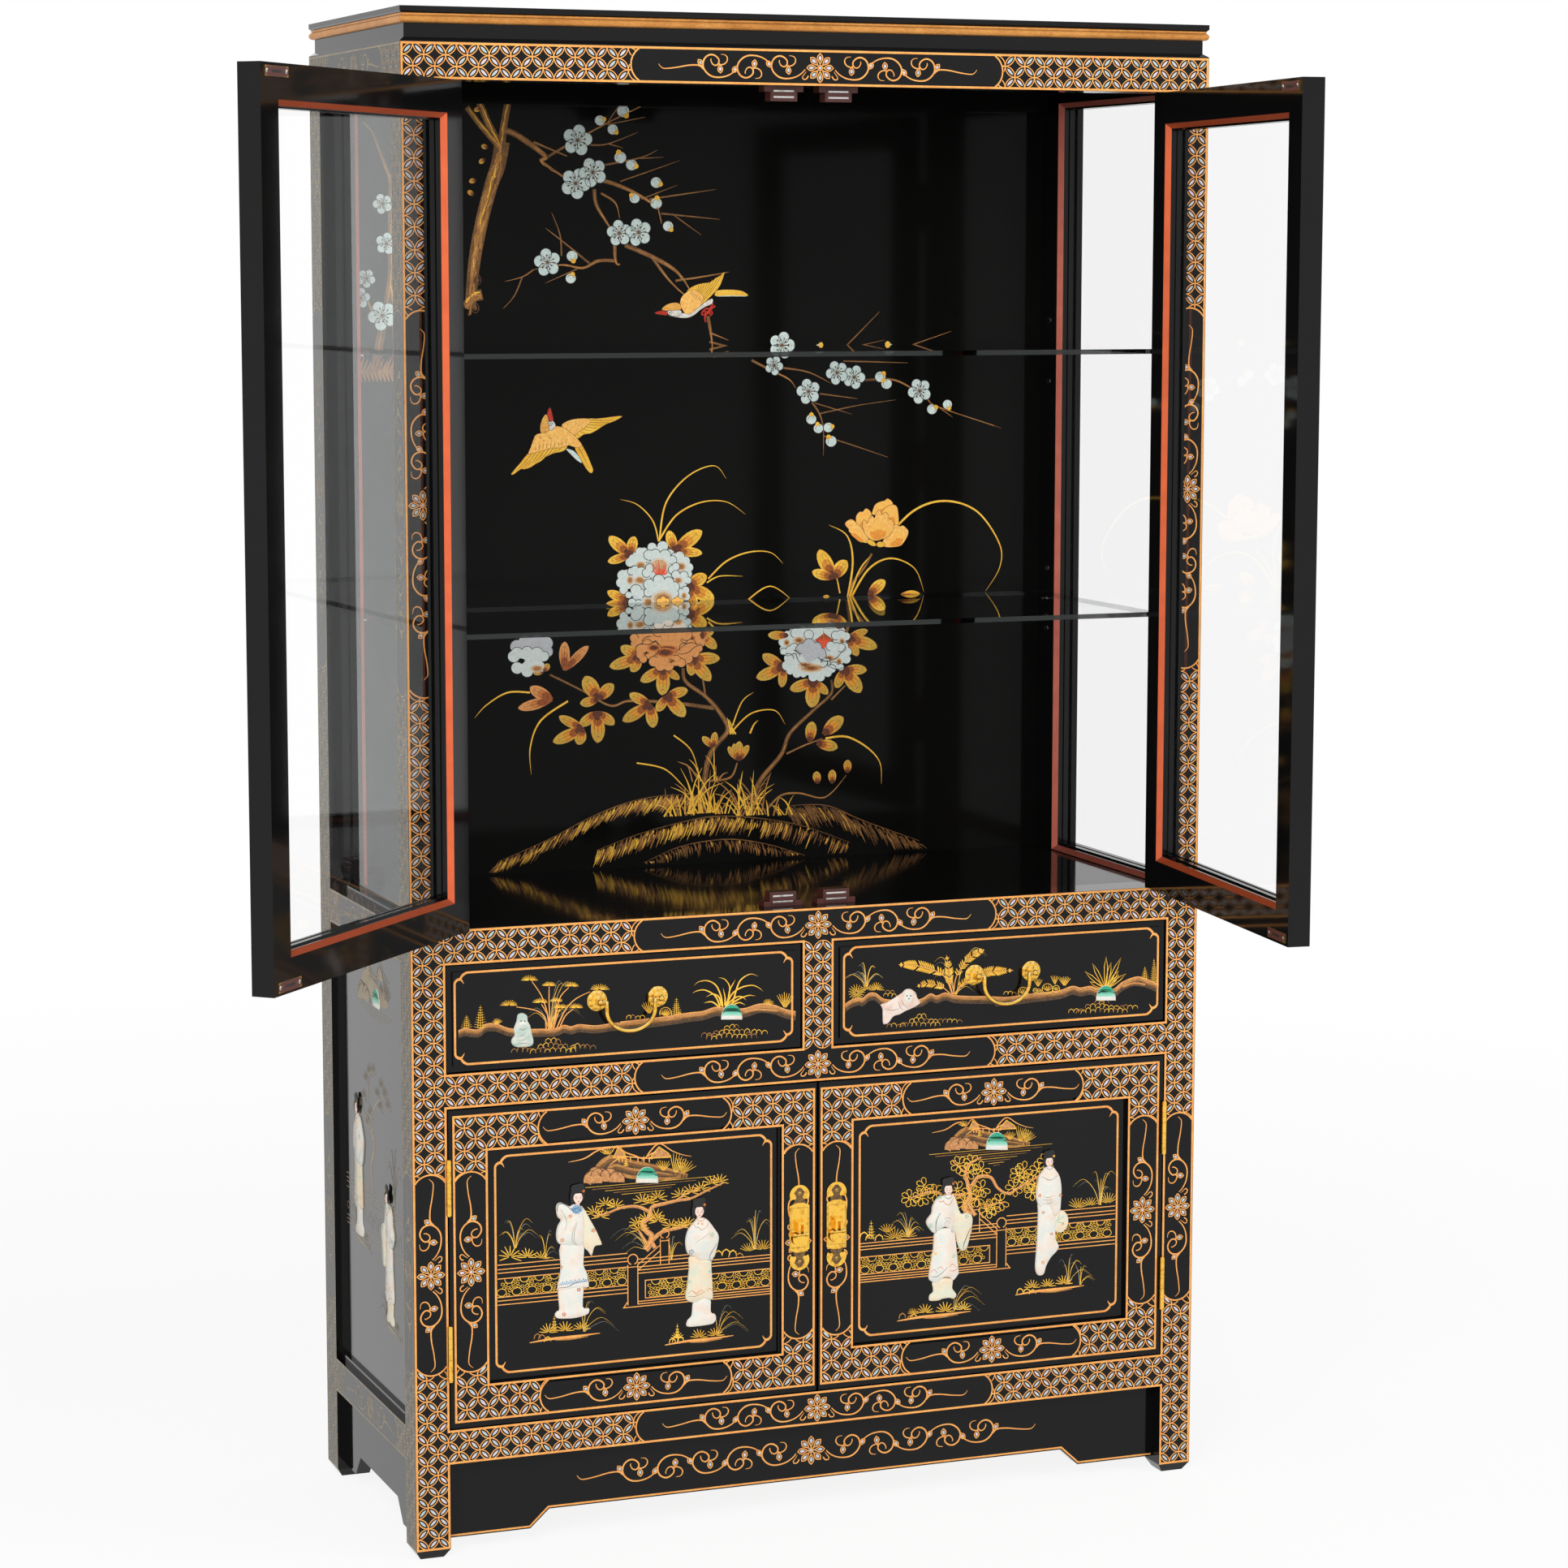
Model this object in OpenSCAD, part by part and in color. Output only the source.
// Black lacquer china cabinet: a glazed display cupboard with two shelves over
// two drawers and a two-door cupboard, on four bevelled post feet.
// Millimetres. +X to the right, +Y to the back, +Z up. The origin lies on the
// floor under the middle of the carcase. The glazed doors stand open, as the
// joints' rest positions have them, and everything else is closed.

/* [Carcase] */
// Overall width across the corner posts
cabinet_w = 1030; // [900:5:1200]
// Overall depth from the face frame to the back
cabinet_d = 408; // [380:2:480]
// Width of a corner post, seen from the front
post_w = 43; // [38:1:52]
// Depth of a front post, seen from the side
front_post_d = 42; // [38:1:46]
// Depth of a rear post, seen from the side
rear_post_d = 48; // [42:1:60]
// Height of a rail of the face frame
rail_h = 42.5; // [36:0.5:52]
// Depth of a rail of the face frame
rail_d = 48; // [46:1:60]
// Width of the stile between the drawers
divider_w = 41; // [36:1:60]
// Thickness of the deck, floor, ceiling and dust boards
board_t = 12; // [9:1:18]
// Thickness of the rear rails
rear_rail_t = 20; // [14:1:26]
// Thickness of the back panels
back_t = 6; // [4:1:9]
// Distance from the back of the posts to the back panels
back_inset = 10; // [4:1:14]
// Hairline joint between the members of a frame
seam = 0.1; // [0.05:0.05:0.3]
// Inward slope of a foot's bevel
foot_bevel = 7; // [3:1:12]
// Height of a foot's bevel
foot_bevel_h = 11; // [6:1:18]

/* [Heights] */
// Clear height under the bottom rails
base_h = 114.5; // [90:0.5:160]
// Height of the cupboard opening
cupboard_h = 390; // [340:5:460]
// Height of the drawer openings
drawer_h = 130; // [120:1:160]
// Height of the display opening
display_h = 985.5; // [900:0.5:1100]

/* [Crown] */
// Height of the sloping ledge under the frieze
ledge_h = 5; // [3:0.5:8]
// Height of the frieze
frieze_h = 16; // [10:1:30]
// Distance from the face frame back to the frieze
frieze_inset = 6; // [3:0.5:10]
// Thickness of the frieze boards
frieze_t = 18; // [12:1:24]
// Radius of the gold half-round moulding
bead_r = 4.4; // [3:0.2:6]
// Height of the narrow fillet above the moulding
fillet_h = 2.2; // [1:0.2:4]
// Distance from the edge of the top back to the fillet
fillet_inset = 2.6; // [1:0.2:4]
// Thickness of the top
slab_h = 8; // [6:0.5:14]
// Chamfer under the edge of the top
slab_chamfer = 2.4; // [1:0.2:4]

/* [Aprons] */
// Thickness of the aprons
apron_t = 18; // [12:1:20]
// Distance from the face frame back to the front apron
front_recess = 20; // [14:1:26]
// Distance from the sides in to the side aprons
side_recess = 10; // [6:1:16]
// Clear height under the ends of the aprons
apron_end_z = 18; // [14:1:40]
// Length of the low end of the front apron
front_end_l = 106; // [60:2:160]
// Rise of the front apron between its ends
front_rise = 22; // [10:1:40]
// Length of the low end of a side apron
side_end_l = 50; // [30:1:80]
// Rise of a side apron between its ends
side_rise = 28; // [10:1:40]
// Length of the slope between the low ends and the middle
apron_slope_l = 24; // [14:1:40]

/* [Side windows] */
// Thickness of a window frame
window_t = 32; // [28:1:36]
// Width of a window frame's stiles
window_stile = 26; // [18:1:34]
// Width of a window frame's rails
window_rail = 9; // [8:1:24]
// Distance from the outside of the frame in to the pane
window_pane_in = 8; // [5:1:12]
// Side of the triangular bead round a pane
bead_side = 6; // [4:0.5:7]
// Distance that a frame steps in towards the pane, past its bead
sight_step = 2; // [1:0.5:3]
// Distance from the bead down to that step
sight_step_d = 7; // [4:0.5:8]

/* [Side panels] */
// Thickness of the lower side panels
side_panel_t = 8; // [6:1:12]
// Width of the raised step round a side panel
side_step_w = 9; // [5:1:16]
// Height of the raised step round a side panel
side_step_t = 4; // [2:0.5:6]

/* [Glass] */
// Thickness of a pane
pane_t = 4; // [3:0.5:5]
// Depth to which a pane sits in its groove
pane_seat = 5; // [3:0.5:6]
// Clearance of a pane in its groove
pane_gap = 0.2; // [0.1:0.1:0.5]
// Thickness of a glass shelf
shelf_t = 6; // [5:0.5:10]
// Height of the lower shelf above the deck
lower_shelf_h = 338; // [280:2:400]
// Height of the upper shelf above the deck
upper_shelf_h = 666; // [600:2:740]
// Clearance between a shelf and what is round it
shelf_gap = 1.5; // [1:0.5:3]

/* [Shelf pegs] */
// Radius of a peg
peg_r = 2.4; // [2:0.1:3]
// Length of a peg that carries the shelf
peg_l = 9; // [6:1:14]
// Radius of the bore for a peg's sleeve
peg_bore_r = 3.3; // [3.2:0.1:4]
// Depth of the bore for a peg's sleeve
peg_bore_l = 12; // [8:1:16]
// Distance between the holes above each other
peg_pitch = 40; // [25:1:60]
// Distance from a post's inner edge to its pegs
peg_in = 4.5; // [4.5:0.5:12]
// Distance from the middle of the front pegs to the edge of a shelf
shelf_lap = 4.5; // [3:0.5:12]
// Rim of a sleeve round its bore
sleeve_rim = 1.1; // [0.8:0.1:1.1]

/* [Doors] */
// Clearance round a door or a drawer front
door_gap = 1.5; // [1.5:0.1:2.5]
// Thickness of a glazed door
upper_door_t = 27; // [24:1:28]
// Width of a glazed door's frame
upper_stile = 46; // [40:1:60]
// Distance from the outside of a glazed door in to its pane
door_pane_in = 4; // [3:0.5:6]
// Thickness of a cupboard door
lower_door_t = 24; // [20:1:26]
// Width of a cupboard door's frame
lower_stile = 49; // [44:1:60]
// Depth of each step in from the frame to the panel
panel_step_t = 3.5; // [2:0.5:5]
// Width of the step round the panel
panel_step_w = 4; // [2:0.5:8]
// Thickness of a cupboard door's panel
panel_t = 9; // [6:1:11]
// Depth to which the panel sits in its groove
panel_seat = 8; // [5:1:10]
// Angle at which the left glazed door stands open
left_open = 133; // [90:1:160]
// Angle at which the right glazed door stands open
right_open = 84; // [60:1:160]

/* [Hinges] */
// Length of a hinge
hinge_h = 66; // [50:1:80]
// Radius of a hinge's knuckles
knuckle_r = 3; // [2.6:0.1:3.5]
// Radius of a hinge pin
pin_r = 1.5; // [1.2:0.1:1.8]
// Running clearance of a pin, on the radius
pin_gap = 0.06; // [0.04:0.01:0.1]
// Thickness of a hinge leaf
leaf_t = 0.6; // [0.4:0.05:0.6]
// Depth of a hinge leaf
leaf_d = 20; // [14:1:22]
// Gap between neighbouring knuckles
knuckle_gap = 0.3; // [0.2:0.1:0.5]
// Clearance of the knuckles from the face of the cabinet
knuckle_clear = 0.4; // [0.3:0.1:0.8]
// Distance from the glazed doors' ends to the middle of a hinge
upper_hinge_in = 130; // [80:5:200]
// Distance from the cupboard's ends to the middle of a hinge
lower_hinge_in = 94; // [60:1:120]

/* [Catches] */
// Width of a magnetic catch over its flange
catch_w = 50; // [44:1:56]
// Width of a catch's housing
catch_body_w = 34; // [26:1:38]
// Depth of a catch, front to back
catch_d = 18; // [12:1:18]
// Height of a catch
catch_h = 17; // [12:1:20]
// Thickness of a catch's flange
catch_flange_h = 6; // [4:0.5:8]
// Distance from the middle of the cabinet to a catch
catch_x = 35; // [30:1:60]
// Thickness of a strike plate
strike_t = 1.2; // [0.8:0.1:2]
// Height of a strike plate
strike_h = 11; // [8:1:14]
// Gap between a strike plate and its catch
strike_gap = 0.3; // [0.2:0.1:1]

/* [Drawers] */
// Thickness of a drawer front
drawer_front_t = 20; // [16:1:24]
// Height of the raised field on a drawer front
field_t = 3; // [1:0.5:5]
// Width of the low rim round the field
field_in = 7; // [4:1:12]
// Length of a drawer box behind its front
drawer_box_l = 330; // [280:5:335]
// Height of a drawer's sides
drawer_side_h = 100; // [80:1:105]
// Thickness of a drawer's sides and back
drawer_side_t = 12; // [9:1:15]
// Distance from the ends of a drawer front in to its sides
drawer_side_in = 3; // [2:0.5:8]
// Thickness of a drawer bottom
drawer_bottom_t = 5; // [3:1:8]
// Height of a drawer bottom above the edge of the sides
drawer_bottom_up = 6; // [4:1:12]
// Width of a runner
runner_w = 16; // [12:1:22]
// Height of a runner
runner_h = 8; // [6:1:12]
// Running gap between a drawer side and its runner
runner_gap = 0.3; // [0.2:0.1:0.6]
// Running gap between a drawer side and the guide
guide_gap = 0.8; // [0.5:0.1:1.5]
// Height of the guide between the drawers
guide_h = 21; // [12:1:30]

/* [Drawer pulls] */
// Distance between the two posts of a pull
pull_pitch = 77; // [64:1:96]
// Height of a pull above the middle of the drawer front
pull_up = 11.5; // [4:0.5:20]
// Radius of a rosette
rosette_r = 12.5; // [10:0.5:16]
// Thickness of a rosette's rim
rosette_t = 1.5; // [1:0.1:2.5]
// Radius of the boss on a rosette
boss_r = 8; // [6:0.5:9]
// Height of the boss on a rosette
boss_h = 4; // [3:0.5:6]
// Radius of a pull's post
post_r = 3.6; // [3:0.1:4.5]
// Distance from the drawer front out to the axis of the bail
bail_out = 14; // [12:0.5:18]
// Radius of the bail's rod
bail_r = 2.5; // [2:0.1:3]
// Radius of the bail's pivots
pivot_r = 1.5; // [1.2:0.1:1.8]
// Length of a pivot inside its post
pivot_l = 3; // [2:0.5:4]
// Distance from a post's axis in to the leg of the bail
leg_in = 8; // [7:0.5:10]
// Drop of the bail below its pivots
bail_drop = 42; // [34:1:50]
// Radius of the bail's lower corners
bail_corner = 20; // [14:1:24]

/* [Lock plates] */
// Width of a lock plate
plate_w = 26; // [22:1:30]
// Length of the plain middle of a lock plate
plate_l = 55; // [50:1:64]
// Length of an ornamental end of a lock plate
plate_end_l = 26; // [22:1:30]
// Thickness of a lock plate
plate_t = 1.6; // [1.2:0.1:2.4]
// Distance from the middle of the cabinet to a plate's middle
plate_x = 24.5; // [22:0.5:26]
// Height of a plate's middle above the middle of the door
plate_up = 14; // [0:1:30]
// Height of the tab's hinge above the middle of the plate
tab_up = -8; // [-14:1:-4]
// Radius of the tab's hinge barrel
tab_barrel_r = 2.2; // [1.8:0.1:2.6]
// Radius of the tab's hinge pin
tab_pin_r = 1; // [0.8:0.1:1.2]
// Distance from the plate out to the tab's hinge
tab_out = 3.4; // [3:0.1:4]
// Width of the tab
tab_w = 20; // [16:1:22]
// Drop of the tab below its hinge
tab_drop = 15; // [12:1:17]
// Thickness of the tab
tab_t = 1.6; // [1.2:0.1:2.2]
// Width of the staple above the tab
staple_w = 10; // [8:0.5:14]
// Height of the staple above the tab's hinge
staple_h = 17; // [14:0.5:20]
// Distance that the staple stands out
staple_out = 9; // [6:0.5:12]
// Thickness of the staple's wire
staple_t = 3.2; // [3.1:0.1:3.6]

/* [Relief figures] */
// Thickness of a relief figure
figure_t = 5; // [3:0.5:6]
// Height of a figure on the doors
door_figure_h = 172; // [140:1:200]
// Height of a figure on the sides
side_figure_h = 190; // [150:1:220]
// Height of the door figures' feet above the door panel's edge
door_figure_up = 58; // [40:1:90]
// Distance from a door's middle to its figures
door_figure_x = 82; // [60:1:100]
// Height of the front side figure's feet above the side panel's edge
side_figure_up = 98; // [60:1:160]
// Height of the rear side figure's feet above the front one's
side_figure_step = 80; // [0:1:120]
// Distance from the middle of a side to its figures
side_figure_y = 68; // [50:1:90]

/* [Hidden] */
$fn = 48;
half_w = cabinet_w / 2;
open_x = half_w - post_w;
y_front = -cabinet_d / 2;
y_back = cabinet_d / 2;
y_front_post = y_front + front_post_d;
y_rear_post = y_back - rear_post_d;
y_rail = y_front + rail_d;
y_panel = y_back - back_inset - back_t;
y_rear_rail = y_panel - rear_rail_t;
side_l = y_rear_post - y_front_post;
z_cupboard = base_h + rail_h;
z_drawer_rail = z_cupboard + cupboard_h;
z_drawers = z_drawer_rail + rail_h;
z_deck_rail = z_drawers + drawer_h;
z_display = z_deck_rail + rail_h;
z_top_rail = z_display + display_h;
body_h = z_top_rail + rail_h;
z_bead = body_h + ledge_h + frieze_h;
z_fillet = z_bead + 2 * bead_r;
z_slab = z_fillet + fillet_h;
z_split = z_display - board_t - rail_h / 2;
ledge_lip = 1;

// Side walls inside the carcase
side_panel_x = half_w - side_recess - side_panel_t;
window_x = open_x + window_t;

// Glazed doors, drawn closed and then swung open about their pins
pin_x = open_x - door_gap / 2;
pin_y = y_front - knuckle_r - knuckle_clear;
bore_r = pin_r + pin_gap;
door_w = open_x - 2 * door_gap;
upper_door_h = display_h - 2 * door_gap;
lower_door_h = cupboard_h - 2 * door_gap;
upper_hinges = [upper_hinge_in, display_h / 2, display_h - upper_hinge_in];
lower_hinges = [lower_hinge_in, cupboard_h - lower_hinge_in];
knuckles = 5;
knuckle_h = (hinge_h - (knuckles - 1) * knuckle_gap) / knuckles;
// Heights of the middles of all the hinges on one side
hinge_z = concat([for (h = upper_hinges) z_display + h], [for (h = lower_hinges) z_cupboard + h]);
pin_head_r = knuckle_r - 0.6;
pin_head_h = 1.2;

// Catches and the strike plates opposite them
strike_z = catch_h / 2 + 2;

// Shelves and their pegs
shelf_z = [z_display + lower_shelf_h, z_display + upper_shelf_h];
peg_y = [y_front_post - peg_in, y_rear_post + peg_in];
shelf_y0 = peg_y[0] - shelf_lap;
shelf_y1 = y_panel - shelf_gap;
peg_holes = [-1, 0, 1];
sleeve_r = peg_bore_r - 0.05;
sleeve_bore_r = peg_r + 0.05;
sleeve_flange = 0.8;

// Drawers
drawer_x0 = divider_w / 2 + door_gap;
drawer_x1 = open_x - door_gap;
drawer_w = drawer_x1 - drawer_x0;
drawer_mid = (drawer_x0 + drawer_x1) / 2;
drawer_y = y_front + drawer_front_t;
drawer_side_z = z_drawers + runner_h + runner_gap;
guide_x = drawer_x0 + drawer_side_in - guide_gap;
runner_x = [drawer_x0 + drawer_side_in + runner_w / 2, drawer_x1 - drawer_side_in - runner_w / 2];
pull_z = z_drawers + drawer_h / 2 + pull_up;
bail_y = y_front - bail_out;
leg_x = pull_pitch / 2 - leg_in;

// Lock plates and their tabs
plate_z = z_cupboard + cupboard_h / 2 + plate_up;
tab_z = plate_z + tab_up;
tab_y = y_front - plate_t - tab_out;
tab_knuckle_l = 4;
tab_clear = 0.5;
staple_up = tab_barrel_r + 1;
notch_r = plate_w * 0.16;

// Middle of the front left foot's sole, from the middle of the carcase
sole_x = -half_w + post_w / 2;
sole_y = y_front + front_post_d / 2;

// Sets a piece so that the origin is the middle of the front left foot's sole
module from_foot() {
    translate([-sole_x, -sole_y, 0]) children();
}

// A box between two corners
module block(low, high) {
    translate(low) cube(high - low);
}

// Shows a left-hand piece again on the right
module both_sides() {
    children();
    mirror([1, 0, 0]) children();
}

// A box that narrows to its foot on all four sides, with its corner at the origin
module bevelled(w, d, h, bevel, bevel_h) {
    intersection() {
        translate([0, d, 0]) rotate([90, 0, 0]) linear_extrude(d)
            bevel_outline(w, h, bevel, bevel_h);
        rotate([90, 0, 90]) linear_extrude(w) bevel_outline(d, h, bevel, bevel_h);
    }
}

module bevel_outline(w, h, bevel, bevel_h) {
    polygon([[bevel, 0], [w - bevel, 0], [w, bevel_h], [w, h], [0, h], [0, bevel_h]]);
}

// A moulding round a w by d rectangle, as four lengths mitred at the corners.
// The profile's x runs in from the edge, as far as reach, and its y runs up.
module mitred_ring(w, d, reach, top) {
    for (k = [0:3]) {
        l = k % 2 == 0 ? w : d;
        across = k % 2 == 0 ? d : w;
        translate([w / 2, d / 2, 0]) rotate([0, 0, 90 * k]) translate([-l / 2, -across / 2, 0])
            intersection() {
                rotate([90, 0, 90]) linear_extrude(l) children();
                linear_extrude(top) polygon([[seam, 0], [l - seam, 0],
                    [l - reach - seam, reach], [reach + seam, reach]]);
            }
    }
}

// Corner posts

module peg_bores(row) {
    for (z = shelf_z, k = peg_holes)
        translate([-open_x, peg_y[row], peg_z(z) + k * peg_pitch])
            rotate([0, -90, 0]) translate([0, 0, -1]) cylinder(r = peg_bore_r, h = peg_bore_l + 1);
}

// Height of a peg's axis under a shelf
function peg_z(shelf) = shelf - peg_r;

module front_post_shape() {
    color("#17150f") difference() {
        translate([-half_w, y_front, 0])
            bevelled(post_w, front_post_d, body_h, foot_bevel, foot_bevel_h);
        peg_bores(0);
    }
}

module rear_post_shape() {
    color("#17150f") difference() {
        translate([-half_w, y_rear_post, 0])
            bevelled(post_w, rear_post_d, body_h, foot_bevel, foot_bevel_h);
        peg_bores(1);
    }
}

module front_left_post() { front_post_shape(); }
module front_right_post() { mirror([1, 0, 0]) front_post_shape(); }
module rear_left_post() { rear_post_shape(); }
module rear_right_post() { mirror([1, 0, 0]) rear_post_shape(); }

// Crown

module top_slab() {
    color("#1b1a17") translate([-half_w, y_front, z_slab])
        bevelled(cabinet_w, cabinet_d, slab_h, slab_chamfer, slab_chamfer);
}

// Half-round moulding round the crown with a narrow fillet above it
module crown_beading() {
    reach = frieze_inset + frieze_t;
    color("#b8862f") translate([-half_w, y_front, z_bead])
        mitred_ring(cabinet_w, cabinet_d, reach, 2 * bead_r + fillet_h) {
            translate([bead_r, bead_r]) circle(r = bead_r);
            translate([bead_r, 0]) square([reach - bead_r, 2 * bead_r]);
            translate([fillet_inset, 2 * bead_r - 0.1])
                square([reach - fillet_inset, fillet_h + 0.1]);
        }
}

// Frieze boards with a sloping ledge at their foot
module crown_frieze() {
    reach = frieze_inset + frieze_t;
    top = ledge_h + frieze_h;
    color("#141311") translate([-half_w, y_front, body_h])
        mitred_ring(cabinet_w, cabinet_d, reach, top)
            polygon([[0, 0], [reach, 0], [reach, top], [frieze_inset, top],
                [frieze_inset, ledge_h], [0, ledge_lip]]);
}

module ceiling_board() {
    color("#141311") plain_board(body_h - board_t);
}

// Boards

// A board between the posts' inner faces, with its underside at z
module plain_board(z) {
    block([-open_x, y_rail, z], [open_x, y_panel, z + board_t]);
}

module deck_board() {
    color("#141311") plain_board(z_display - board_t);
}

module cupboard_floor() {
    color("#2a2118") plain_board(z_cupboard - board_t);
}

// The dust board reaches out between the posts to the side panels
module dust_board() {
    color("#6b4a2c") {
        plain_board(z_drawers - board_t);
        both_sides() block([-side_panel_x, y_front_post, z_drawers - board_t],
            [-open_x, y_rear_post, z_drawers]);
    }
}

// Face frame

module face_rail(z) {
    block([-open_x, y_front, z], [open_x, y_rail, z + rail_h]);
}

module front_top_rail() { color("#17150f") face_rail(z_top_rail); }
module deck_rail() { color("#17150f") face_rail(z_deck_rail); }
module drawer_rail() { color("#17150f") face_rail(z_drawer_rail); }
module bottom_rail() { color("#17150f") face_rail(base_h); }

module drawer_divider() {
    color("#17150f")
        block([-divider_w / 2, y_front, z_drawers], [divider_w / 2, y_rail, z_deck_rail]);
}

// Aprons

// Outline of an apron of length l, with two low ends and a raised middle
module apron_outline(l, end_l, rise) {
    polygon([[0, apron_end_z], [end_l, apron_end_z],
        [end_l + apron_slope_l, apron_end_z + rise],
        [l - end_l - apron_slope_l, apron_end_z + rise], [l - end_l, apron_end_z],
        [l, apron_end_z], [l, base_h], [0, base_h]]);
}

module front_apron() {
    color("#17150f") translate([-open_x, y_front + front_recess + apron_t, 0])
        rotate([90, 0, 0]) linear_extrude(apron_t)
            apron_outline(2 * open_x, front_end_l, front_rise);
}

module side_aprons() {
    color("#17150f") both_sides() translate([-half_w + side_recess, y_front_post, 0])
        rotate([90, 0, 90]) linear_extrude(apron_t)
            apron_outline(side_l, side_end_l, side_rise);
}

// Sides

module side_rails() {
    color("#17150f") for (z = [base_h, z_deck_rail, z_top_rail])
        block([-half_w, y_front_post, z], [-open_x, y_rear_post, z + rail_h]);
}

module left_side_rails() { side_rails(); }
module right_side_rails() { mirror([1, 0, 0]) side_rails(); }

// Lower side panels with a raised step all round
module side_panels() {
    h = z_deck_rail - z_cupboard;
    rim = side_step_w;
    color("#17150f") both_sides() translate([-half_w + side_recess, y_front_post, z_cupboard])
        difference() {
            translate([-side_step_t, 0, 0]) cube([side_panel_t + side_step_t, side_l, h]);
            translate([-side_step_t - 1, rim, rim])
                cube([side_step_t + 1, side_l - 2 * rim, h - 2 * rim]);
        }
}

// Frames

// Two stiles and two rails of a frame w by h in the XZ plane, t deep, with the
// children cut from each
module frame_members(w, h, t, stile, rail) {
    rail_l = w - 2 * stile - 2 * seam;
    members = [[0, 0, stile, h], [w - stile, 0, stile, h],
        [stile + seam, 0, rail_l, rail], [stile + seam, h - rail, rail_l, rail]];
    for (m = members) difference() {
        translate([m[0], 0, m[1]]) cube([m[2], t, m[3]]);
        children();
    }
}

// A block through the opening, from depth y0 to y1, with the frame's members
// left x and z wide
module sight_block(w, h, x, z, y0, y1) {
    translate([x, y0, z]) cube([w - 2 * x, y1 - y0, h - 2 * z]);
}

// A glazed frame with its outside at y = 0. The pane's groove, the step and the
// rebate for the bead are cut along all four members.
module glazed_frame(w, h, t, stile, rail, pane_in) {
    frame_members(w, h, t, stile, rail) {
        sight_block(w, h, stile - pane_seat, rail - pane_seat,
            pane_in - pane_gap, pane_in + pane_t + pane_gap);
        sight_block(w, h, stile - sight_step, rail - sight_step,
            t - bead_side - sight_step_d, t + 1);
        sight_block(w, h, stile - sight_step - bead_side, rail - sight_step - bead_side,
            t - bead_side, t + 1);
    }
}

// The triangular beads that fit the rebate, laid from the inside
module glazed_bead(w, h, t, stile, rail) {
    x = stile - sight_step - bead_side;
    z = rail - sight_step - bead_side;
    translate([x, t - bead_side, h - z]) rotate([-90, 0, 0])
        mitred_ring(w - 2 * x, h - 2 * z, bead_side, bead_side)
            polygon([[0, 0], [bead_side, 0], [0, bead_side]]);
}

module glazed_pane(w, h, stile, rail, pane_in) {
    x = stile - pane_seat + pane_gap;
    z = rail - pane_seat + pane_gap;
    sight_block(w, h, x, z, pane_in, pane_in + pane_t);
}

// Side windows

// Places a frame drawn in the XZ plane in the left and right sides
module in_side_windows() {
    both_sides() translate([-window_x, y_rear_post, z_display])
        rotate([0, 0, -90]) children();
}

module window_frames() {
    color("#17150f") in_side_windows()
        glazed_frame(side_l, display_h, window_t, window_stile, window_rail, window_pane_in);
}

module window_beading() {
    color("#b5432a") in_side_windows()
        glazed_bead(side_l, display_h, window_t, window_stile, window_rail);
}

module window_glass() {
    color("#dfe9e6", 0.35) in_side_windows()
        glazed_pane(side_l, display_h, window_stile, window_rail, window_pane_in);
}

// Back

module rear_rails() {
    color("#141311") for (z = [z_cupboard, z_display, body_h])
        block([-open_x, y_rear_rail, z - board_t - rail_h], [open_x, y_panel, z - board_t]);
}

module upper_back_panel() {
    color("#0f0e0d") block([-open_x, y_panel, z_split], [open_x, y_panel + back_t, body_h]);
}

module lower_back_panel() {
    color("#0f0e0d") block([-open_x, y_panel, z_cupboard - board_t - rail_h],
        [open_x, y_panel + back_t, z_split]);
}

// Shelves, pegs and catches

module glass_shelves() {
    color("#cfe0da", 0.4) for (z = shelf_z)
        block([-open_x + shelf_gap, shelf_y0, z], [open_x - shelf_gap, shelf_y1, z + shelf_t]);
}

module sleeve() {
    difference() {
        union() {
            cylinder(r = sleeve_r, h = peg_bore_l - 1);
            translate([0, 0, -sleeve_flange])
                cylinder(r = sleeve_r + sleeve_rim, h = sleeve_flange);
        }
        translate([0, 0, -sleeve_flange - 1]) cylinder(r = sleeve_bore_r, h = peg_bore_l + 2);
    }
}

// Twelve sleeved holes a side, and a peg under each shelf's corner
module shelf_pegs() {
    color("#c9a24a") both_sides() for (y = peg_y, z = shelf_z)
        translate([-open_x, y, peg_z(z)]) rotate([0, -90, 0]) {
            for (k = peg_holes) translate([k * peg_pitch, 0, 0]) sleeve();
            translate([0, 0, -peg_l]) cylinder(r = peg_r, h = peg_l + peg_bore_l - 3);
        }
}

// A double-pole catch standing on z = 0 with its face at y = 0
module catch() {
    translate([-catch_w / 2, 0, 0]) cube([catch_w, catch_d, catch_flange_h]);
    translate([-catch_body_w / 2, 0, 0]) cube([catch_body_w, catch_d, catch_h]);
}

module magnetic_catches() {
    upper_y = y_front + upper_door_t + strike_t + strike_gap;
    lower_y = y_front + lower_door_t + strike_t + strike_gap;
    color("#7a3a2a") for (x = [-catch_x, catch_x]) {
        translate([x, upper_y, z_display]) catch();
        translate([x, upper_y, z_top_rail]) mirror([0, 0, 1]) catch();
        translate([x, lower_y, z_drawer_rail]) mirror([0, 0, 1]) catch();
    }
}

// A strike plate on a left door's inner face, its middle opposite the catch
module strike(door_t, z) {
    block([-catch_x - catch_w / 2, y_front + door_t, z - strike_h / 2],
        [-catch_x + catch_w / 2, y_front + door_t + strike_t, z + strike_h / 2]);
}

// Hinges

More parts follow.
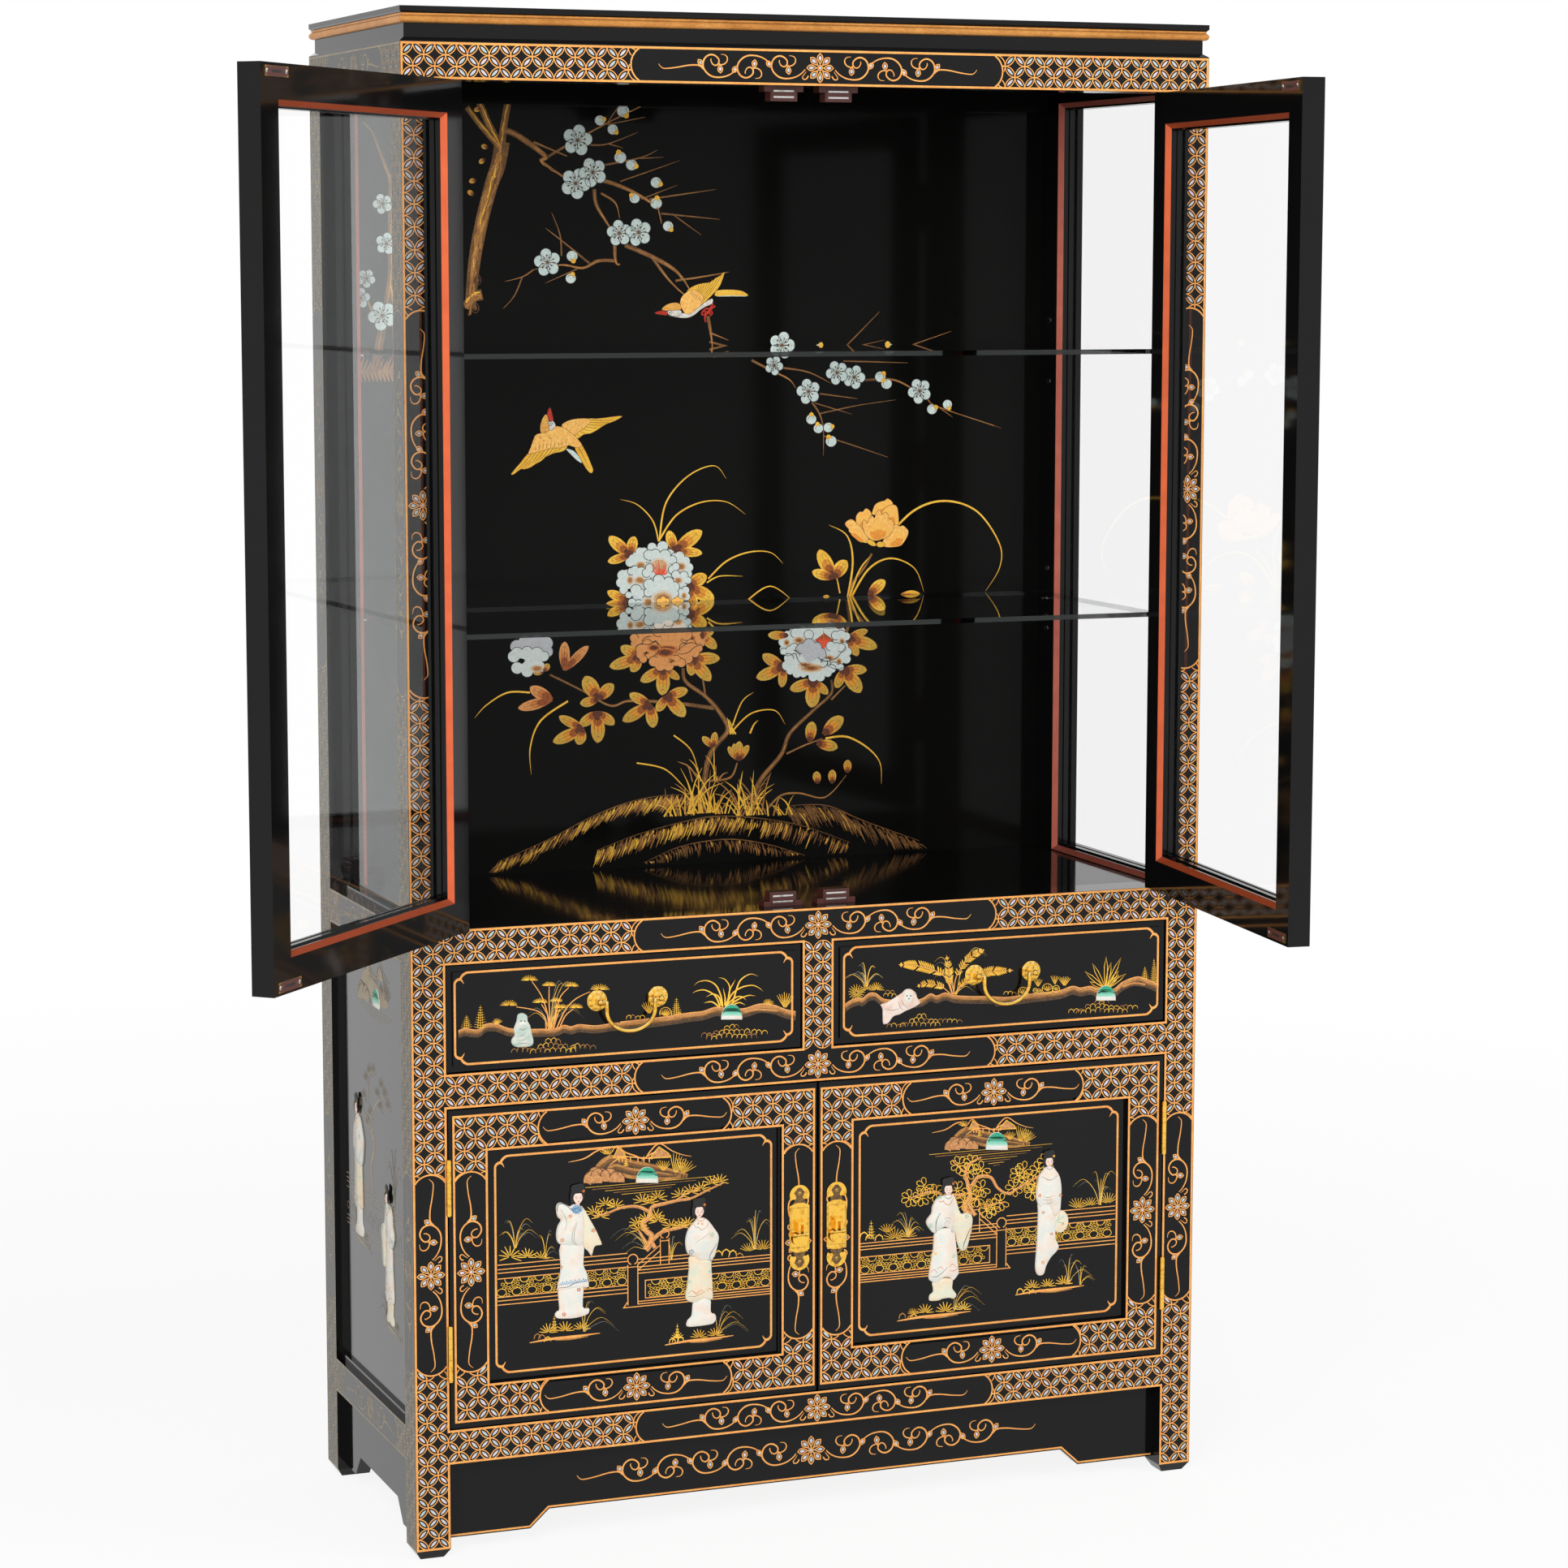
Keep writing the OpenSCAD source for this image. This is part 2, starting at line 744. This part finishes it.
// Knuckles k of a hinge with the web that joins each to its leaf at x0
module hinge_half(ks, x0) {
    difference() {
        union() {
            translate([x0, y_front, -hinge_h / 2]) cube([leaf_t, leaf_d, hinge_h]);
            for (k = ks) translate([0, 0, -hinge_h / 2 + k * (knuckle_h + knuckle_gap)]) {
                translate([-pin_x, pin_y, 0]) cylinder(r = knuckle_r, h = knuckle_h);
                translate([x0, pin_y, 0]) cube([leaf_t, y_front - pin_y + 1, knuckle_h]);
            }
        }
        translate([-pin_x, pin_y, -hinge_h / 2 - 1]) cylinder(r = bore_r, h = hinge_h + 2);
    }
}

// The leaf on the left post
module post_leaf() {
    hinge_half([0, 2, 4], -open_x);
}

// The leaf on the left door
module door_leaf() {
    hinge_half([1, 3], -open_x + door_gap - leaf_t);
}

// A headed pin through one left hinge
module pin_shape() {
    translate([-pin_x, pin_y, -hinge_h / 2]) {
        cylinder(r = pin_r, h = hinge_h);
        translate([0, 0, -pin_head_h]) cylinder(r = pin_head_r, h = pin_head_h);
        translate([0, 0, hinge_h]) cylinder(r = pin_head_r, h = pin_head_h);
    }
}

module post_hinge_leaves() {
    color("#caa345") both_sides() for (z = hinge_z) translate([0, 0, z]) post_leaf();
}

module hinge_pins() {
    color("#caa345") both_sides() for (z = hinge_z) translate([0, 0, z]) pin_shape();
}

// Glazed doors

// Swings a left door open about its pins
module swing(angle) {
    translate([-pin_x, pin_y, 0]) rotate([0, 0, -angle]) translate([pin_x, -pin_y, 0]) children();
}

module at_upper_door() {
    translate([-open_x + door_gap, y_front, z_display + door_gap]) children();
}

module upper_frame_shape() {
    color("#17150f") at_upper_door() glazed_frame(door_w, upper_door_h, upper_door_t,
        upper_stile, upper_stile, door_pane_in);
}

module upper_bead_shape() {
    color("#b5432a") at_upper_door()
        glazed_bead(door_w, upper_door_h, upper_door_t, upper_stile, upper_stile);
}

module upper_pane_shape() {
    color("#dfe9e6", 0.35) at_upper_door()
        glazed_pane(door_w, upper_door_h, upper_stile, upper_stile, door_pane_in);
}

module upper_hardware_shape() {
    color("#caa345") {
        for (h = upper_hinges) translate([0, 0, z_display + h]) door_leaf();
        for (z = [z_display + strike_z, z_top_rail - strike_z])
            strike(upper_door_t, z);
    }
}

module upper_left_door_frame() { swing(left_open) upper_frame_shape(); }
module upper_left_door_beading() { swing(left_open) upper_bead_shape(); }
module upper_left_door_glass() { swing(left_open) upper_pane_shape(); }
module upper_left_door_hardware() { swing(left_open) upper_hardware_shape(); }
module upper_right_door_frame() { mirror([1, 0, 0]) swing(right_open) upper_frame_shape(); }
module upper_right_door_beading() { mirror([1, 0, 0]) swing(right_open) upper_bead_shape(); }
module upper_right_door_glass() { mirror([1, 0, 0]) swing(right_open) upper_pane_shape(); }
module upper_right_door_hardware() { mirror([1, 0, 0]) swing(right_open) upper_hardware_shape(); }

// Cupboard doors

// The frame has a step round the opening and a groove for the panel
module lower_frame_shape() {
    s = lower_stile;
    groove_y = 2 * panel_step_t;
    color("#17150f") at_lower_door() frame_members(door_w, lower_door_h, lower_door_t, s, s) {
        sight_block(door_w, lower_door_h, s - panel_step_w, s - panel_step_w, -1, panel_step_t);
        sight_block(door_w, lower_door_h, s - panel_seat, s - panel_seat,
            groove_y, groove_y + panel_t);
    }
}

module at_lower_door() {
    translate([-open_x + door_gap, y_front, z_cupboard + door_gap]) children();
}

module lower_panel_shape() {
    x = lower_stile - panel_seat + pane_gap;
    y = 2 * panel_step_t;
    color("#17150f") at_lower_door() sight_block(door_w, lower_door_h, x, x, y, y + panel_t);
}

// Ornamental end of a lock plate: a waist, then a round end with a notch each side
module plate_end() {
    r = plate_w / 2;
    waist_w = plate_w * 0.3;
    waist_l = plate_end_l - 2 * r + notch_r;
    polygon([[-r, 0], [r, 0], [waist_w / 2, waist_l], [-waist_w / 2, waist_l]]);
    difference() {
        translate([0, plate_end_l - r]) circle(r = r);
        for (side = [-1, 1])
            translate([side * (waist_w / 2 + notch_r), plate_end_l - 2 * r + notch_r])
                circle(r = notch_r);
    }
}

// Lock plate with the staple and the two ears and pin that carry the tab
module lock_plate() {
    ear_x = (tab_w - tab_knuckle_l) / 2;
    plate_y = y_front - plate_t;
    translate([-plate_x, y_front, plate_z]) rotate([90, 0, 0]) linear_extrude(plate_t) {
        square([plate_w, plate_l], center = true);
        for (turn = [0, 180]) rotate(turn) translate([0, plate_l / 2]) plate_end();
    }
    translate([-plate_x, plate_y - staple_out, tab_z]) difference() {
        translate([-staple_w / 2, 0, staple_up]) cube([staple_w, staple_out, staple_h - staple_up]);
        translate([staple_t - staple_w / 2, -1, staple_up - 1])
            cube([staple_w - 2 * staple_t, staple_out + 1, staple_h - staple_up - staple_t + 1]);
    }
    for (side = [-1, 1]) translate([-plate_x + side * ear_x - tab_knuckle_l / 2, 0, tab_z]) {
        translate([0, tab_y, 0]) rotate([0, 90, 0]) cylinder(r = tab_barrel_r, h = tab_knuckle_l);
        translate([0, tab_y, -tab_pin_r]) cube([tab_knuckle_l, plate_y - tab_y, 2 * tab_pin_r]);
    }
    translate([-plate_x - ear_x, tab_y, tab_z]) rotate([0, 90, 0])
        cylinder(r = tab_pin_r, h = 2 * ear_x);
}

module lower_hardware_shape() {
    color("#caa345") {
        for (h = lower_hinges) translate([0, 0, z_cupboard + h]) door_leaf();
        strike(lower_door_t, z_drawer_rail - strike_z);
        lock_plate();
    }
}

// The half-round tab that hangs on the lock plate's pin
module lock_tab_shape() {
    barrel_l = tab_w - 2 * tab_knuckle_l - 2 * knuckle_gap;
    flap_top = -tab_barrel_r - tab_clear;
    color("#d8b24e") translate([-plate_x, tab_y, tab_z]) difference() {
        union() {
            translate([-barrel_l / 2, 0, 0]) rotate([0, 90, 0])
                cylinder(r = tab_barrel_r, h = barrel_l);
            translate([0, tab_t / 2, 0]) rotate([90, 0, 0]) linear_extrude(tab_t) intersection() {
                translate([0, tab_w / 2 - tab_drop]) circle(r = tab_w / 2);
                translate([-tab_w / 2, -tab_drop]) square([tab_w, tab_drop + flap_top]);
            }
            translate([-barrel_l / 2, -tab_t / 2, flap_top - 0.1])
                cube([barrel_l, tab_t, tab_barrel_r]);
        }
        translate([-tab_w / 2, 0, 0]) rotate([0, 90, 0])
            cylinder(r = tab_pin_r + pin_gap, h = tab_w);
    }
}

module lower_left_door_frame() { lower_frame_shape(); }
module lower_left_door_panel() { lower_panel_shape(); }
module lower_left_door_hardware() { lower_hardware_shape(); }
module lower_right_door_frame() { mirror([1, 0, 0]) lower_frame_shape(); }
module lower_right_door_panel() { mirror([1, 0, 0]) lower_panel_shape(); }
module lower_right_door_hardware() { mirror([1, 0, 0]) lower_hardware_shape(); }
module left_lock_tab() { lock_tab_shape(); }
module right_lock_tab() { mirror([1, 0, 0]) lock_tab_shape(); }

// Relief figures

// Outline of a robed figure of height h, with its feet at the origin
module lady_outline(h) {
    k = h / 180;
    polygon(k * [[-24, 0], [22, 0], [24, 8], [16, 18], [17, 44], [24, 54], [20, 96],
        [30, 92], [38, 84], [44, 96], [36, 112], [28, 136], [16, 148], [6, 151],
        [-6, 151], [-16, 147], [-27, 134], [-27, 112], [-20, 98], [-25, 54], [-18, 44],
        [-18, 18], [-24, 8]]);
    translate([0, k * 158]) circle(r = k * 10.5);
    translate([0, k * 170]) circle(r = k * 9);
}

module lady(h) {
    rotate([90, 0, 0]) linear_extrude(figure_t) lady_outline(h);
}

module door_figures() {
    color("#eef3ec") for (s = [-1, 1])
        translate([-(open_x / 2) + s * door_figure_x, y_front + 2 * panel_step_t,
            z_cupboard + lower_stile + door_figure_up + s * -13])
            mirror([s > 0 ? 1 : 0, 0, 0]) lady(door_figure_h);
}

module lower_left_door_figures() { door_figures(); }
module lower_right_door_figures() { mirror([1, 0, 0]) door_figures(); }

module side_figures() {
    color("#eef3ec") both_sides() for (s = [-1, 1])
        translate([-half_w + side_recess, s * side_figure_y,
            z_cupboard + side_figure_up + (s > 0 ? side_figure_step : 0)])
            rotate([0, 0, -90]) mirror([s > 0 ? 1 : 0, 0, 0]) lady(side_figure_h);
}

// Drawers

module drawer_runners() {
    color("#8a6238") {
        both_sides() for (x = runner_x)
            block([-x - runner_w / 2, y_rail, z_drawers],
                [-x + runner_w / 2, y_rear_rail, z_drawers + runner_h]);
        block([-guide_x, y_rail, z_drawers], [guide_x, y_rear_rail, z_drawers + guide_h]);
    }
}

// A front with a low rim round a raised field
module drawer_front_shape() {
    z0 = z_drawers + door_gap;
    z1 = z_deck_rail - door_gap;
    color("#17150f") {
        block([-drawer_x1, y_front + field_t, z0], [-drawer_x0, drawer_y, z1]);
        block([-drawer_x1 + field_in, y_front, z0 + field_in],
            [-drawer_x0 - field_in, drawer_y, z1 - field_in]);
    }
}

// Two sides, a back and a bottom
module drawer_box_shape() {
    x0 = -drawer_x1 + drawer_side_in;
    x1 = -drawer_x0 - drawer_side_in;
    y1 = drawer_y + drawer_box_l;
    z0 = drawer_side_z;
    z1 = z0 + drawer_side_h;
    inner0 = x0 + drawer_side_t + seam;
    inner1 = x1 - drawer_side_t - seam;
    bottom = z0 + drawer_bottom_up;
    color("#a87d4c") {
        block([x0, drawer_y, z0], [x0 + drawer_side_t, y1, z1]);
        block([x1 - drawer_side_t, drawer_y, z0], [x1, y1, z1]);
        block([inner0, y1 - drawer_side_t, z0], [inner1, y1, z1]);
        block([inner0, drawer_y, bottom],
            [inner1, y1 - drawer_side_t - seam, bottom + drawer_bottom_t]);
    }
}

// Rosettes with their bossed posts, bored from the inner side for the bail
module pull_mount_shape() {
    color("#caa345") for (s = [-1, 1])
        translate([-drawer_mid + s * pull_pitch / 2, y_front, pull_z]) difference() {
            rotate([90, 0, 0]) {
                cylinder(r = rosette_r, h = rosette_t);
                cylinder(r = boss_r, h = boss_h);
                cylinder(r = post_r, h = bail_out);
                translate([0, 0, bail_out]) sphere(r = post_r);
            }
            translate([0, -bail_out, 0]) rotate([0, s * -90, 0])
                cylinder(r = pivot_r + pin_gap, h = post_r + 1);
        }
}

// A swinging bail: two pivots, two legs, two round corners and a straight middle
module bail_shape() {
    leg_l = bail_drop - bail_corner;
    color("#d8b24e") translate([-drawer_mid, bail_y, pull_z]) {
        for (s = [-1, 1]) {
            translate([s * leg_x, 0, -leg_l]) cylinder(r = bail_r, h = leg_l);
            translate([s * leg_x, 0, 0]) sphere(r = bail_r);
            translate([s * leg_x, 0, 0]) rotate([0, s * 90, 0])
                cylinder(r = pivot_r, h = leg_in - post_r + pivot_l);
        }
        translate([leg_x - bail_corner, 0, -leg_l]) rotate([90, 0, 0])
            rotate([0, 0, -90]) rotate_extrude(angle = 90) translate([bail_corner, 0]) circle(r = bail_r);
        translate([-leg_x + bail_corner, 0, -leg_l]) rotate([90, 0, 0])
            rotate([0, 0, 180]) rotate_extrude(angle = 90) translate([bail_corner, 0]) circle(r = bail_r);
        translate([-leg_x + bail_corner, 0, -bail_drop]) rotate([0, 90, 0])
            cylinder(r = bail_r, h = 2 * (leg_x - bail_corner));
    }
}

module left_drawer_front() { drawer_front_shape(); }
module left_drawer_box() { drawer_box_shape(); }
module left_pull_mounts() { pull_mount_shape(); }
module left_bail() { bail_shape(); }
module right_drawer_front() { mirror([1, 0, 0]) drawer_front_shape(); }
module right_drawer_box() { mirror([1, 0, 0]) drawer_box_shape(); }
module right_pull_mounts() { mirror([1, 0, 0]) pull_mount_shape(); }
module right_bail() { mirror([1, 0, 0]) bail_shape(); }

from_foot() front_left_post();
from_foot() front_right_post();
from_foot() rear_left_post();
from_foot() rear_right_post();
from_foot() top_slab();
from_foot() crown_beading();
from_foot() crown_frieze();
from_foot() ceiling_board();
from_foot() front_top_rail();
from_foot() deck_rail();
from_foot() drawer_divider();
from_foot() drawer_rail();
from_foot() bottom_rail();
from_foot() front_apron();
from_foot() left_side_rails();
from_foot() right_side_rails();
from_foot() side_aprons();
from_foot() side_panels();
from_foot() window_frames();
from_foot() window_beading();
from_foot() window_glass();
from_foot() rear_rails();
from_foot() upper_back_panel();
from_foot() lower_back_panel();
from_foot() deck_board();
from_foot() dust_board();
from_foot() cupboard_floor();
from_foot() drawer_runners();
from_foot() glass_shelves();
from_foot() shelf_pegs();
from_foot() magnetic_catches();
from_foot() post_hinge_leaves();
from_foot() hinge_pins();
from_foot() side_figures();
from_foot() upper_left_door_frame();
from_foot() upper_left_door_beading();
from_foot() upper_left_door_glass();
from_foot() upper_left_door_hardware();
from_foot() upper_right_door_frame();
from_foot() upper_right_door_beading();
from_foot() upper_right_door_glass();
from_foot() upper_right_door_hardware();
from_foot() lower_left_door_frame();
from_foot() lower_left_door_panel();
from_foot() lower_left_door_hardware();
from_foot() lower_left_door_figures();
from_foot() lower_right_door_frame();
from_foot() lower_right_door_panel();
from_foot() lower_right_door_hardware();
from_foot() lower_right_door_figures();
from_foot() left_lock_tab();
from_foot() right_lock_tab();
from_foot() left_drawer_front();
from_foot() left_drawer_box();
from_foot() left_pull_mounts();
from_foot() left_bail();
from_foot() right_drawer_front();
from_foot() right_drawer_box();
from_foot() right_pull_mounts();
from_foot() right_bail();
